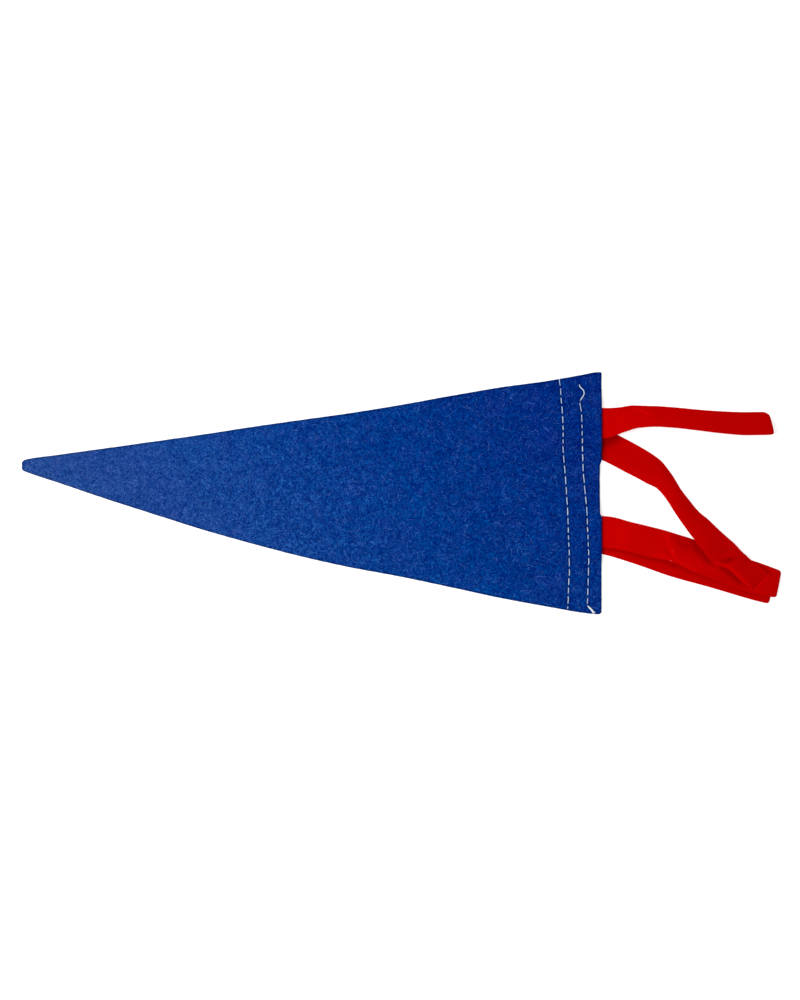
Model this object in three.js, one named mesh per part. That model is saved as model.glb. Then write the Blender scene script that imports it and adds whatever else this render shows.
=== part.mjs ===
// A pennant flag lying on the floor, plain side up: one felt triangle, blunt at its tip, over the
// folded ends of two tape ties that come out from under its wide end, the heading.
// Millimetres, +Z up, floor at z = 0. X runs from the tip to the heading, Y up the heading.
// In every table "up" and "top" and "bottom" are Y, from the middle of the heading.
import * as THREE from 'three';

const pennantLength = 304.8; // 12 in, tip to heading
const feltThickness = 1.5;
const tapeThickness = 1;
const layerGap = 0.3; // between a tie's layers, and between them and the felt
const foldInset = 23.8; // from the heading in to where both ties are folded
const oneLayer = tapeThickness + layerGap;
const twoLayers = 2 * oneLayer;

// The felt's two long edges. The lower one bulges gently, and the tip is cut off blunt.
const feltOutline = [
  { fromTip: 0, top: 16.7, bottom: 12.2 },
  { fromTip: 1, top: 17.4, bottom: 11.4 },
  { fromTip: 3, top: 18.4, bottom: 10.6 },
  { fromTip: 20, top: 20.4, bottom: 5.2 },
  { fromTip: 41, top: 23.3, bottom: -2 },
  { fromTip: 72.5, top: 27.7, bottom: -12.1 },
  { fromTip: 94, top: 30.8, bottom: -18.9 },
  { fromTip: 120, top: 34.8, bottom: -26.3 },
  { fromTip: 146, top: 38.5, bottom: -33.1 },
  { fromTip: 172.5, top: 42.2, bottom: -39 },
  { fromTip: 199, top: 46.5, bottom: -43.9 },
  { fromTip: 225, top: 51.2, bottom: -49.4 },
  { fromTip: 251.5, top: 55.7, bottom: -55.1 },
  { fromTip: 277.5, top: 59.3, bottom: -59.9 },
  { fromTip: 293.5, top: 62.1, bottom: -62.7 },
  { fromTip: 303, top: 63.7, bottom: -63.7 },
  { fromTip: pennantLength, top: 63.3, bottom: -62.5 },
];
const tipStations = [0, 1, 3];
const flatLength = 262; // the felt lies flat on the floor up to here
const flatStep = 13;
const raisedStep = 2.8;
const feltRows = 28;

// The heading's edge is drawn in a little between the two ties.
const edgeDip = { depth: 0.9, top: 17.5, bottom: -13, side: 3, reach: 7 };

// Where the ties' layers hold the felt off the floor, as pads with soft sides.
const pads = [
  { height: twoLayers, topAtHeading: 47, bottomAtHeading: 26.5, topAtFold: 47.5, bottomAtFold: 26.5 },
  { height: oneLayer, topAtHeading: 47, bottomAtHeading: 15.5, topAtFold: 47.5, bottomAtFold: 26.5 },
  { height: twoLayers, topAtHeading: -9.8, bottomAtHeading: -31.5, topAtFold: -9.8, bottomAtFold: -29 },
];
const padReach = foldInset + 2.2; // past the round back of the folds
const padSide = 9;
const padFront = 12;

// The ties, a row for each section, from the fold out to the cut end. "out" is measured from the
// heading's edge, "heading" is the way the tape runs, in degrees, and "span" its width seen from
// above. "rise" lifts its right edge above its left one, "bow" arches its middle, and "lift" is
// how high its lowest edge lies.
const fold = { out: -foldInset, span: 16, rise: 0, bow: 0 };
const upperTieTop = [
  { ...fold, up: 37, heading: -12, lift: oneLayer },
  { out: 1.4, up: 36.8, heading: 6, span: 16.1, rise: 0, bow: 0, lift: oneLayer },
  { out: 9.8, up: 38.4, heading: 10, span: 13.4, rise: 4.5, bow: 1.6, lift: 0.7 },
  { out: 18.3, up: 40.1, heading: 9, span: 12, rise: 7.5, bow: 2.3, lift: 0 },
  { out: 26.7, up: 40.2, heading: 0, span: 11, rise: 8.6, bow: 2.8, lift: 0 },
  { out: 37.2, up: 39.6, heading: -4, span: 10.9, rise: 8.7, bow: 2.9, lift: 0 },
  { out: 49.8, up: 38.3, heading: -6.5, span: 11.1, rise: 8.5, bow: 2.8, lift: 0 },
  { out: 62.4, up: 37.1, heading: -4.5, span: 11.7, rise: 8, bow: 2.6, lift: 0 },
  { out: 75.1, up: 36.4, heading: -1, span: 12.2, rise: 7.3, bow: 2.4, lift: 0 },
  { out: 84.1, up: 36.5, heading: 0, span: 12.2, rise: 7.1, bow: 2.3, lift: 0 },
  { out: 88.9, up: 36.2, heading: 9, span: 11.2, rise: 7, bow: 2.2, lift: 0 },
];
const upperTieUnder = [
  { ...fold, up: 37, heading: -12, lift: 0 },
  { out: 3.7, up: 24.4, heading: -27, span: 15.5, rise: 0, bow: 0, lift: 0 },
  { out: 13.9, up: 19.1, heading: -27, span: 15.5, rise: 0.6, bow: 0.4, lift: 0 },
  { out: 26.3, up: 11.8, heading: -31, span: 13.6, rise: 4, bow: 1.4, lift: 0 },
  { out: 32, up: 6.3, heading: -42, span: 11.7, rise: 7.2, bow: 2.2, lift: 0 },
  { out: 37.2, up: -1.1, heading: -57, span: 9.6, rise: 9.2, bow: 3.2, lift: 0 },
  { out: 41.5, up: -6.4, heading: -55, span: 10, rise: 9, bow: 3, lift: 0 },
  { out: 46.4, up: -13.1, heading: -52, span: 11.2, rise: 8.2, bow: 2.6, lift: 0 },
  { out: 51.1, up: -18.1, heading: -48, span: 12.8, rise: 7.4, bow: 1.9, lift: 0.3 },
  { out: 56.2, up: -23.4, heading: -46, span: 13.9, rise: 6.4, bow: 1.2, lift: 0.9 },
  { out: 62.8, up: -31.1, heading: -45, span: 14.9, rise: 4.8, bow: 1, lift: 2.1 },
  { out: 70.4, up: -36.2, heading: -45, span: 10.8, rise: 3.4, bow: 2.8, lift: 2.9 },
  { out: 77.6, up: -42.2, heading: -45, span: 12, rise: 2.2, bow: 1.8, lift: 2.9 },
  { out: 83.2, up: -46.4, heading: -45, span: 12.2, rise: 0.8, bow: 0.8, lift: 2.9 },
];
const lowerTieTop = [
  { ...fold, up: -19.1, heading: -7, lift: oneLayer },
  { out: 2.7, up: -20.4, heading: -5, span: 16.6, rise: 0, bow: 0, lift: oneLayer },
  { out: 14.6, up: -22.9, heading: -12, span: 15.5, rise: 1, bow: 0.6, lift: oneLayer },
  { out: 28.5, up: -26.4, heading: -14, span: 15.7, rise: 1, bow: 0.6, lift: oneLayer },
  { out: 38.8, up: -28.9, heading: -17, span: 14.5, rise: 1.4, bow: 1.6, lift: oneLayer },
  { out: 51.9, up: -34.1, heading: -17, span: 16.2, rise: 0.6, bow: 0.3, lift: oneLayer },
  { out: 65.3, up: -39.1, heading: -17.5, span: 16.4, rise: 0, bow: 0, lift: oneLayer },
  { out: 78.5, up: -43.9, heading: -17, span: 16.7, rise: 0, bow: 0, lift: oneLayer },
  { out: 93, up: -47.7, heading: -11, span: 13.9, rise: 0, bow: 0.8, lift: oneLayer },
];
const lowerTieUnder = [
  { ...fold, up: -19.1, heading: -7, lift: 0 },
  { out: 2.6, up: -24.2, heading: -10, span: 16.3, rise: 0, bow: 0, lift: 0 },
  { out: 19.3, up: -29.2, heading: -19, span: 16.3, rise: 0, bow: 0, lift: 0 },
  { out: 39.2, up: -36.1, heading: -18, span: 16.3, rise: 0, bow: 0, lift: 0 },
  { out: 58.7, up: -41.5, heading: -15.5, span: 16.3, rise: 0, bow: 0, lift: 0 },
  { out: 81.4, up: -47.9, heading: -15, span: 16.3, rise: 0, bow: 0, lift: 0 },
  { out: 89.7, up: -49.7, heading: -10, span: 15.8, rise: 0, bow: 0, lift: 0 },
];
const tapeStep = 4; // between sections along a tie
const tapeColumns = 6; // facets across a tie
const turnSteps = 6; // facets round a fold

const feltBlue = new THREE.MeshStandardMaterial({ color: '#0e3987', roughness: 0.95, metalness: 0 });
const tapeRed = new THREE.MeshStandardMaterial({ color: '#b80202', roughness: 0.75, metalness: 0 });

const { clamp, degToRad, lerp, smoothstep } = THREE.MathUtils;

// One column of a table read between its rows: smooth, and never past the rows' own values.
function readColumn(places, values, place) {
  const last = places.length - 1;
  const slopes = values.slice(1).map((value, i) => (value - values[i]) / (places[i + 1] - places[i]));
  const slopeAt = (i) => {
    const before = slopes[Math.max(i - 1, 0)];
    const after = slopes[Math.min(i, last - 1)];
    return before * after <= 0 ? 0 : (2 * before * after) / (before + after);
  };
  const i = clamp(places.filter((each) => each < place).length - 1, 0, last - 1);
  const step = places[i + 1] - places[i];
  const t = clamp((place - places[i]) / step, 0, 1);
  const start = (1 + 2 * t) * (1 - t) ** 2 * values[i] + t * (1 - t) ** 2 * step * slopeAt(i);
  const end = t ** 2 * (3 - 2 * t) * values[i + 1] + t ** 2 * (t - 1) * step * slopeAt(i + 1);
  return start + end;
}

// The closed solid between two grids of points, with walls round their rims.
function solidBetween(front, back) {
  const lastRow = front.length - 1;
  const lastColumn = front[0].length - 1;
  const frontAt = (row, column) => row * (lastColumn + 1) + column;
  const backAt = (row, column) => frontAt(lastRow + 1 + row, column);
  const triangles = [];
  const quad = (a, b, c, d) => triangles.push(a, b, c, a, c, d);
  for (let row = 0; row < lastRow; row += 1) {
    for (let column = 0; column < lastColumn; column += 1) {
      const [r, c] = [row + 1, column + 1];
      quad(frontAt(row, column), frontAt(r, column), frontAt(r, c), frontAt(row, c));
      quad(backAt(row, column), backAt(row, c), backAt(r, c), backAt(r, column));
    }
    const r = row + 1;
    const c = lastColumn;
    quad(frontAt(row, 0), backAt(row, 0), backAt(r, 0), frontAt(r, 0));
    quad(frontAt(row, c), frontAt(r, c), backAt(r, c), backAt(row, c));
  }
  for (let column = 0; column < lastColumn; column += 1) {
    const c = column + 1;
    quad(frontAt(0, column), frontAt(0, c), backAt(0, c), backAt(0, column));
    quad(frontAt(lastRow, column), backAt(lastRow, column), backAt(lastRow, c), frontAt(lastRow, c));
  }
  const points = [...front.flat(), ...back.flat()];
  const geometry = new THREE.BufferGeometry().setFromPoints(points);
  geometry.setIndex(triangles);
  geometry.computeVertexNormals();
  return geometry;
}

// How far off the floor the ties hold the felt, at a place this far in from the heading.
function feltLift(inset, up) {
  const alongFold = clamp(inset / foldInset, 0, 1);
  const front = 1 - smoothstep(inset, padReach, padReach + padFront);
  const heights = pads.map((pad) => {
    const top = lerp(pad.topAtHeading, pad.topAtFold, alongFold);
    const bottom = lerp(pad.bottomAtHeading, pad.bottomAtFold, alongFold);
    const beside = Math.max(up - top, bottom - up);
    return pad.height * front * (1 - smoothstep(beside, 0, padSide));
  });
  return Math.max(...heights);
}

// How far in the heading's edge is drawn between the ties.
function headingDip(inset, up) {
  const beside = Math.max(up - edgeDip.top, edgeDip.bottom - up);
  const nearEdge = 1 - smoothstep(inset, 0, edgeDip.reach);
  return edgeDip.depth * nearEdge * (1 - smoothstep(beside, -edgeDip.side, 0));
}

// Places from one length to another, about a step apart, without the first.
function placesBetween(start, end, step) {
  const count = Math.round((end - start) / step);
  return Array.from({ length: count }, (_, i) => lerp(start, end, (i + 1) / count));
}

function feltPennant() {
  const places = feltOutline.map((row) => row.fromTip);
  const tops = feltOutline.map((row) => row.top);
  const bottoms = feltOutline.map((row) => row.bottom);
  const stations = [
    ...tipStations,
    ...placesBetween(tipStations.at(-1), flatLength, flatStep),
    ...placesBetween(flatLength, pennantLength, raisedStep),
  ];
  const underside = stations.map((fromTip) => {
    const inset = pennantLength - fromTip;
    const top = readColumn(places, tops, fromTip);
    const bottom = readColumn(places, bottoms, fromTip);
    return Array.from({ length: feltRows + 1 }, (_, i) => {
      const up = lerp(bottom, top, i / feltRows);
      return new THREE.Vector3(-inset - headingDip(inset, up), up, feltLift(inset, up));
    });
  });
  const thickness = new THREE.Vector3(0, 0, feltThickness);
  const upperside = underside.map((row) => row.map((point) => point.clone().add(thickness)));
  return new THREE.Mesh(solidBetween(upperside, underside), feltBlue);
}

// The middle surface of one layer of a tie: a list of sections, each a row of points across it.
function layerSections(table) {
  const places = table.map(() => 0);
  for (let i = 1; i < table.length; i += 1) {
    places[i] = places[i - 1] + Math.hypot(table[i].out - table[i - 1].out, table[i].up - table[i - 1].up);
  }
  const count = Math.round(places.at(-1) / tapeStep);
  return Array.from({ length: count + 1 }, (_, i) => {
    const place = (places.at(-1) * i) / count;
    const read = (name) => readColumn(places, table.map((row) => row[name]), place);
    const turn = degToRad(read('heading'));
    return Array.from({ length: tapeColumns + 1 }, (__, column) => {
      const across = (2 * column) / tapeColumns - 1; // -1 at the right edge, 1 at the left
      const aside = (read('span') / 2) * across;
      const height = (read('rise') * (1 - across)) / 2 + read('bow') * (1 - across ** 2);
      return new THREE.Vector3(
        read('out') - aside * Math.sin(turn),
        read('up') + aside * Math.cos(turn),
        read('lift') + tapeThickness / 2 + height,
      );
    });
  });
}

// The round back of a fold, between the first sections of the layer above and the layer under it.
function foldSections(above, under, heading) {
  const backwards = new THREE.Vector3(-Math.cos(degToRad(heading)), -Math.sin(degToRad(heading)), 0);
  return Array.from({ length: turnSteps - 1 }, (_, i) => {
    const angle = (Math.PI * (i + 1)) / turnSteps;
    return above.map((top, column) => {
      const middle = top.clone().lerp(under[column], 0.5);
      const radius = top.distanceTo(under[column]) / 2;
      middle.z += radius * Math.cos(angle);
      return middle.addScaledVector(backwards, radius * Math.sin(angle));
    });
  });
}

// The direction square to a surface at one point of its grid.
function normalAt(grid, row, column) {
  const lastRow = grid.length - 1;
  const lastColumn = grid[0].length - 1;
  const before = grid[Math.max(row - 1, 0)][column];
  const after = grid[Math.min(row + 1, lastRow)][column];
  const right = grid[row][Math.max(column - 1, 0)];
  const left = grid[row][Math.min(column + 1, lastColumn)];
  const along = new THREE.Vector3().subVectors(after, before);
  const across = new THREE.Vector3().subVectors(left, right);
  return along.cross(across).normalize();
}

function tapeTie(topTable, underTable) {
  const above = layerSections(topTable);
  const under = layerSections(underTable);
  const turn = foldSections(above[0], under[0], topTable[0].heading);
  const middle = [...above.toReversed(), ...turn, ...under];
  const offset = (distance) => middle.map((row, r) => row.map(
    (point, c) => point.clone().addScaledVector(normalAt(middle, r, c), distance),
  ));
  return new THREE.Mesh(solidBetween(offset(tapeThickness / 2), offset(-tapeThickness / 2)), tapeRed);
}

const pieces = {
  felt_pennant: feltPennant(),
  upper_tie: tapeTie(upperTieTop, upperTieUnder),
  lower_tie: tapeTie(lowerTieTop, lowerTieUnder),
};
const flag = new THREE.Group();
for (const [name, piece] of Object.entries(pieces)) {
  piece.name = name;
  flag.add(piece);
}

// The origin is on the floor, under the middle of the whole flag.
const middle = new THREE.Box3().setFromObject(flag).getCenter(new THREE.Vector3());
flag.position.set(-middle.x, -middle.y, 0);

export default flag;
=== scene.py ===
# A pennant flag laid flat, plain side up: blue felt, two folded red tape ties and white stitching.
# Every table is in millimetres. "out" is measured from the heading's edge, "up" is Y.
import math

import bpy
import numpy as np
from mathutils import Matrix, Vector, noise
from mathutils.geometry import delaunay_2d_cdt


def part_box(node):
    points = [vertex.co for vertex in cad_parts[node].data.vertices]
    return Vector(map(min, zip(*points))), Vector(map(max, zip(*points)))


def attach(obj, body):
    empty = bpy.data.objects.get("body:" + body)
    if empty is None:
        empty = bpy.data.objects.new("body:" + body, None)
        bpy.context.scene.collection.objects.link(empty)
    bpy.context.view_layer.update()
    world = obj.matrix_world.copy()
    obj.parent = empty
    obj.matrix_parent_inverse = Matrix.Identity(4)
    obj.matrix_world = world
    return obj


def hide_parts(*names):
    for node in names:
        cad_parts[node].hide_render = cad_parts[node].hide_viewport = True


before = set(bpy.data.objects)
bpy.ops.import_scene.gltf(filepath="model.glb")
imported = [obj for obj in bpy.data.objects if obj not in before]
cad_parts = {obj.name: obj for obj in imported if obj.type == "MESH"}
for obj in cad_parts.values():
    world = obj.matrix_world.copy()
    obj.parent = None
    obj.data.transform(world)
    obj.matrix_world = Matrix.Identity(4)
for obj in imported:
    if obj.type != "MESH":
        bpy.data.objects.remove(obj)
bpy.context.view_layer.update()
scene = bpy.context.scene
mm = 0.001
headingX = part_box("felt_pennant")[1].x / mm

# camera and light

view = {
    "centre": (-0.76, -3.55),  # the point under the lens
    "height": 1242,
    "lens": 85,
    "sensor": 36,
    "nearClip": 0.05,  # metres
}
light = {
    "sky": 0.5,
    "keyPower": 10.8,
    "keySize": 0.45,  # metres
    "keyPlace": (-0.55, 0.06, 1.22),  # metres
    "floor": 0.7,
    "floorGlow": 0.62,  # the table is lit white, so shadows on it stay faint
    "floorSize": 3.0,  # metres
    "floorDrop": 0.1,
}


def linear(red, green, blue):
    # screen colour, 0 to 255, to the colour that Blender works in
    values = []
    for value in (red, green, blue):
        value /= 255
        values.append(value / 12.92 if value <= 0.04045 else ((value + 0.055) / 1.055) ** 2.4)
    return (*values, 1.0)


def addNode(tree, kind, values=(), **settings):
    node = tree.nodes.new(kind)
    for name, value in settings.items():
        setattr(node, name, value)
    for name, value in dict(values).items():
        node.inputs[name].default_value = value
    return node


def addLevel(tree, source, **ends):
    # a number read from one range into another: low, high, dark, pale
    names = {"low": "From Min", "high": "From Max", "dark": "To Min", "pale": "To Max"}
    level = addNode(tree, "ShaderNodeMapRange", {names[name]: value for name, value in ends.items()})
    tree.links.new(source, level.inputs["Value"])
    return level.outputs["Result"]


def addRamp(tree, source, stops):
    # colours along a line, as (place from 0 to 1, colour)
    ramp = addNode(tree, "ShaderNodeValToRGB")
    for stop, (at, colour) in enumerate(stops):
        if stop > 1:
            ramp.color_ramp.elements.new(1)
        ramp.color_ramp.elements[stop].position = at
        ramp.color_ramp.elements[stop].color = colour
    tree.links.new(source, ramp.inputs[0])
    return ramp.outputs["Color"]


def addNoise(tree, place, scale, detail, roughness, distortion=0):
    values = {"Scale": scale, "Detail": detail, "Roughness": roughness, "Distortion": distortion}
    texture = addNode(tree, "ShaderNodeTexNoise", values)
    tree.links.new(place, texture.inputs["Vector"])
    return texture.outputs["Fac"]


def addMix(tree, share, first, second):
    # two colours mixed, each a fixed one or another node's
    mix = addNode(tree, "ShaderNodeMix", data_type="RGBA")
    tree.links.new(share, mix.inputs[0])
    for socket, colour in ((mix.inputs[6], first), (mix.inputs[7], second)):
        if isinstance(colour, tuple):
            socket.default_value = colour
        else:
            tree.links.new(colour, socket)
    return mix.outputs[2]


def addScale(tree, colour, factor):
    scaled = addNode(tree, "ShaderNodeVectorMath", operation="SCALE")
    tree.links.new(colour, scaled.inputs[0])
    tree.links.new(factor, scaled.inputs["Scale"])
    return scaled.outputs[0]


def addBump(tree, shader, height, strength, distance):
    bump = addNode(tree, "ShaderNodeBump", {"Strength": strength, "Distance": distance * mm})
    tree.links.new(height, bump.inputs["Height"])
    tree.links.new(bump.outputs["Normal"], shader.inputs["Normal"])


def newMaterial(name):
    material = bpy.data.materials.new(name)
    material.use_nodes = True
    return material, material.node_tree, material.node_tree.nodes["Principled BSDF"]


def makeStudio():
    camera = bpy.data.objects.new("camera", bpy.data.cameras.new("camera"))
    camera.data.lens = view["lens"]
    camera.data.sensor_width = view["sensor"]
    camera.location = (view["centre"][0] * mm, view["centre"][1] * mm, view["height"] * mm)
    camera.data.clip_start = view["nearClip"]
    scene.collection.objects.link(camera)
    scene.camera = camera

    world = bpy.data.worlds.new("softWhiteRoom")
    world.use_nodes = True
    world.node_tree.nodes["Background"].inputs["Color"].default_value = (1, 1, 1, 1)
    world.node_tree.nodes["Background"].inputs["Strength"].default_value = light["sky"]
    scene.world = world

    key = bpy.data.objects.new("keyLight", bpy.data.lights.new("keyLight", "AREA"))
    key.data.energy = light["keyPower"]
    key.data.size = light["keySize"]
    key.location = light["keyPlace"]
    key.rotation_mode = "QUATERNION"
    key.rotation_quaternion = Vector(light["keyPlace"]).to_track_quat("Z", "Y")
    scene.collection.objects.link(key)

    material, tree, shader = newMaterial("whiteTable")
    shader.inputs["Base Color"].default_value = (light["floor"],) * 3 + (1,)
    shader.inputs["Roughness"].default_value = 1
    shader.inputs["Specular IOR Level"].default_value = 0
    shader.inputs["Emission Color"].default_value = (1, 1, 1, 1)
    shader.inputs["Emission Strength"].default_value = light["floorGlow"]
    half = light["floorSize"] / 2
    corners = [(-half, -half), (half, -half), (half, half), (-half, half)]
    mesh = bpy.data.meshes.new("tableTop")
    mesh.from_pydata([(x, y, -light["floorDrop"] * mm) for x, y in corners], [], [(0, 1, 2, 3)])
    mesh.materials.append(material)
    table = bpy.data.objects.new("tableTop", mesh)
    scene.collection.objects.link(table)
    scene.view_settings.view_transform = "Standard"


makeStudio()
print("studio ready")


# helpers for shapes

def smoothstep(value, low, high):
    t = np.clip((value - low) / (high - low), 0, 1)
    return t * t * (3 - 2 * t)


def readColumn(places, values, at):
    # one column of a table read between its rows, smooth and never past the rows' own values
    places = np.asarray(places, float)
    values = np.asarray(values, float)
    steps = np.diff(places)
    slopes = np.diff(values) / steps
    before = np.concatenate([slopes[:1], slopes])
    after = np.concatenate([slopes, slopes[-1:]])
    alike = before * after > 0
    tangents = np.where(alike, 2 * before * after / np.where(alike, before + after, 1), 0)
    i = np.clip(np.searchsorted(places, at) - 1, 0, len(steps) - 1)
    t = np.clip((at - places[i]) / steps[i], 0, 1)
    start = (1 + 2 * t) * (1 - t) ** 2 * values[i] + t * (1 - t) ** 2 * steps[i] * tangents[i]
    end = t ** 2 * (3 - 2 * t) * values[i + 1] + t ** 2 * (t - 1) * steps[i] * tangents[i + 1]
    return start + end


def cloud(x, y, size, seed):
    # soft noise from about -1 to 1, in patches of this size
    values = [noise.noise(Vector((a / size, b / size, seed))) for a, b in zip(x.ravel(), y.ravel())]
    return np.array(values).reshape(x.shape)


def lineDistance(x, y, line):
    # how far each point is from a line of points, seen from above
    nearest = np.full(x.shape, np.inf)
    for (ax, ay), (bx, by) in zip(line, line[1:]):
        dx, dy = bx - ax, by - ay
        t = np.clip(((x - ax) * dx + (y - ay) * dy) / (dx * dx + dy * dy), 0, 1)
        nearest = np.minimum(nearest, np.hypot(x - ax - t * dx, y - ay - t * dy))
    return nearest


def addPiece(name, points, faces, material, values=()):
    # points are (out, up, height); values are numbers that the material reads, one for each point
    places = np.asarray(points, float) + (headingX, 0, 0)
    mesh = bpy.data.meshes.new(name)
    mesh.from_pydata((places * mm).tolist(), [], [tuple(map(int, face)) for face in faces])
    for valueName, data in dict(values).items():
        data = np.asarray(data, np.float32)
        kind, field = ("FLOAT", "value") if data.ndim == 1 else ("FLOAT_VECTOR", "vector")
        mesh.attributes.new(valueName, kind, "POINT").data.foreach_set(field, data.ravel())
    mesh.shade_smooth()
    mesh.materials.append(material)
    piece = bpy.data.objects.new(name, mesh)
    scene.collection.objects.link(piece)
    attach(piece, "root")
    return piece


# stitching: two rows down the heading

stitching = {
    "aside": -0.24,  # both rows moved out by this
    # where each row runs, from the top edge down: (out, up)
    "outerRow": [
        (-21.4, 60.9), (-22, 58.9), (-21.5, 56.4), (-21.3, 53.3), (-21.2, 49), (-20.7, 43.8),
        (-20.2, 33.3), (-20.2, 25.4), (-19.5, 16.4), (-18.9, 9.7), (-17.9, -6.9), (-17.3, -25),
        (-17, -29.9), (-16.9, -35.1), (-16.7, -41.4), (-17, -45.6), (-17.4, -56.2), (-17.7, -61.4),
    ],
    "innerRow": [
        (-11.4, 48.2), (-11.3, 46.5), (-10.6, 42.7), (-10.4, 38.5), (-10.1, 26.4), (-9.8, 17.5),
        (-9.4, 11.1), (-7.9, -6.4), (-7.4, -17.1), (-7.1, -24.9), (-6.7, -35.1), (-6.7, -40.4),
        (-7, -50.9), (-7.2, -56.2), (-7.3, -58.9),
    ],
    # the stitches' lengths, from the top down
    "outerStitches": [
        5.1, 5.1, 4.5, 5.1, 4.9, 3.7, 3.6, 3.4, 4.9, 5.3, 5.6, 5.7, 5.4, 5.5, 5.4, 4.8, 4.3, 3.7,
        3.7, 4.4, 5.9, 4.9, 4.9, 4.6, 5.3, 2.6,
    ],
    "innerStitches": [
        6.2, 5.3, 3.4, 3.8, 4, 4.3, 5.1, 5.2, 6.2, 5.9, 5.3, 6, 4.6, 4, 3.8, 3.8, 4.5, 5.1, 5.6,
        5.3, 5.1, 4.6,
    ],
    "seed": 7,
    "threadRadius": 0.31,
    "threadSides": 15,
    "threadTurn": 1.7,  # length of one turn of its twist
    "threadStrands": 3,
    "strandDepth": 0.16,  # share of the radius
    "bedDepth": 0.3,  # how far a row is pressed into the felt
    "holeDepth": 0.25,
    "bedWidth": 0.95,
    "haloWidth": 0.97,  # painted shade, with the pressed felt: darker this far from a row
    "gapHalo": 0.15,  # and less so at the holes
    "gapWidth": 0.75,
    "holeWidth": 0.5,
    # the thread's middle above its bed, from a hole on: (along, height)
    "dive": [(0.24, -1.1), (0.46, -0.74), (0.78, -0.16), (1.15, 0.16), (1.7, 0.32)],
    "taper": 1.6,  # a stitch is slimmer, and covered with blue wool, this near its holes
    "stitchEnds": (0.55, 0.55),  # share of its width at each end
    "looseEnds": (0.6, 1),  # the second end is cut off at full width
    "looseRadius": 0.33,
    "fullness": (0.9, 1.06),  # a stitch is slimmer or thicker by chance
    "cleanness": (0.75, 1.25),  # and whiter or bluer
    "wander": 0.04,  # how far it strays sideways
    "stitchRings": 26,
    "looseRings": 44,
    "rowEnd": 0.8,  # a row's bed runs out over this length
    "looseHalo": (0.8, 1.0),  # strength and width of the painted shade beside the loose threads
    "curl": [
        (-11.55, 48.1, -0.6), (-11.25, 49, 0.4), (-10.55, 50.1, 0.6), (-9.75, 51.2, 0.8),
        (-9.4, 52.3, 0.9), (-9.5, 53.4, 0.95), (-10.05, 54.5, 0.8), (-11.0, 55.35, 0.6),
        (-11.55, 56.1, 0.5), (-11.75, 57.0, 0.45),
    ],
    "tailStrands": [
        [
            (-7.4, -58.9, -0.5), (-7.1, -59.4, 0.4), (-5.8, -60.5, 0.6), (-4.6, -61.8, 0.6),
            (-3.6, -62.8, 0.5),
        ],
        [
            (-7.5, -59.0, -0.5), (-7.2, -59.5, 0.35), (-6, -60.8, 0.5), (-4.9, -62.2, 0.5),
            (-4.3, -63.4, 0.2),
        ],
    ],
}


def rowHoles(row, lengths):
    # the needle holes' places up the heading
    return row[0][1] - np.concatenate([[0], np.cumsum(lengths)])


def rowOut(row, up):
    line = np.array(row)[::-1]
    return readColumn(line[:, 1], line[:, 0], np.asarray(up, float)) + stitching["aside"]


stitchRows = [
    (stitching["outerRow"], rowHoles(stitching["outerRow"], stitching["outerStitches"])),
    (stitching["innerRow"], rowHoles(stitching["innerRow"], stitching["innerStitches"])),
]
looseThreads = [stitching["curl"], stitching["tailStrands"][0]]


# felt: one long triangle with its surface pressed in along the stitching

tapeSize = {"thickness": 1.0, "gap": 0.3}
oneLayer = tapeSize["thickness"] + tapeSize["gap"]
felt = {
    "length": 304.8,
    "thickness": 1.5,
    "area": 0.0217,  # square metres
    # the long edges, tip to heading: (from the tip, top, bottom)
    "outline": [
        (0, 15.8, 12.9), (0.3, 16.6, 12.3), (1.1, 17.4, 11.6), (3.6, 18.15, 10.6), (20, 20.4, 5.2),
        (41, 23.3, -2), (72.5, 27.7, -12.1), (94, 30.8, -18.9), (120, 34.8, -26.3),
        (146, 38.5, -33.1), (172.5, 42.2, -39), (199, 46.5, -43.9), (225, 51.2, -49.4),
        (251.5, 55.7, -55.1), (277.5, 59.3, -59.9), (293.5, 62.1, -62.7), (303.4, 63.7, -63.7),
        (304.8, 63.6, -62.6),
    ],
    # where the ties under it hold it up: (height, top and bottom at the heading, then at the fold)
    "pads": [
        (2 * oneLayer, 47, 26.5, 47.5, 26.5),
        (oneLayer, 47, 15.5, 47.5, 26.5),
        (2 * oneLayer, -9.8, -31.5, -9.8, -29),
    ],
    "foldInset": 23.8,
    "padReach": 26.0,
    "padSide": 9,
    "padFront": 12,
    "edgeDip": {"depth": 0.9, "top": 17.5, "bottom": -13, "side": 3, "reach": 7},
    "edgeStep": 0.8,
    "tipSteps": [0.12, 0.3, 0.52],  # closer together round the tip's corners
    "tipPoints": 7,
    "edgeWander": 0.1,
    "wanderPatch": 2.6,
    "wanderSeed": 8.8,
    "rimInset": 0.35,
    "rimDrop": 0.28,
    "rimEase": 0.2,  # share of the drop at the inset
    "rimWidth": 0.85,  # the felt is darker this far in from its cut edges
    # step, nearest and furthest from the stitching
    "lattices": [(0.85, 3.6, math.inf), (0.6, 2.3, 3.6), (0.42, 0, 2.3)],
    "halfHeight": 66,
    "undersideStep": 2.4,
    "swells": [(38, 0.1, 1.3), (9, 0.07, 5), (3.2, 0.07, 8.7)],  # patch size, height and seed
}


def edgesAt(fromTip):
    places, top, bottom = np.array(felt["outline"]).T
    return readColumn(places, top, fromTip), readColumn(places, bottom, fromTip)


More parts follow.
